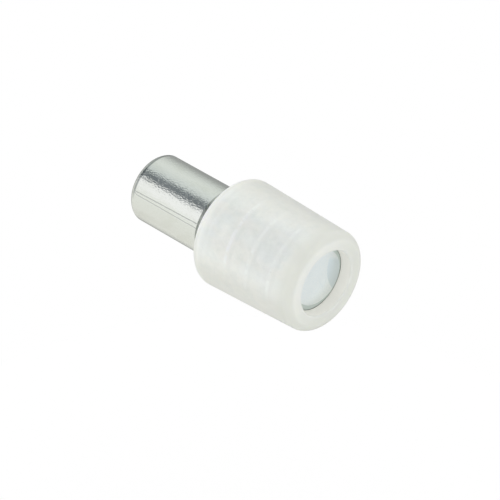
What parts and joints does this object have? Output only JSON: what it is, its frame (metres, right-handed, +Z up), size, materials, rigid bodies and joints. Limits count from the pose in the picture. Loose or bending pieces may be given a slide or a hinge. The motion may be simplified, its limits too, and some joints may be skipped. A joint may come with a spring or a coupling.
{
  "type": "shelf support pin",
  "caption": "Plug-in shelf support pin: a round steel dowel with a rounded end, its head held in a tapered translucent plastic sleeve with a rounded open front.",
  "frame": {"origin": "centre of the sleeve's rear face, on the pin's axis, where the cabinet side's surface lies", "axes": "+X along the pin from its plug end to the sleeve's open front, +Z up, the side the shelf lies on"},
  "size_m": [0.0165, 0.0078, 0.0078],
  "materials": {
    "pin": "bright zinc-plated steel, smooth with a fine grainy texture",
    "sleeve": "natural milky translucent soft plastic, satin"
  },
  "bodies": {
    "root": {"pin": "pin", "sleeve": "sleeve"}
  },
  "joints": []
}
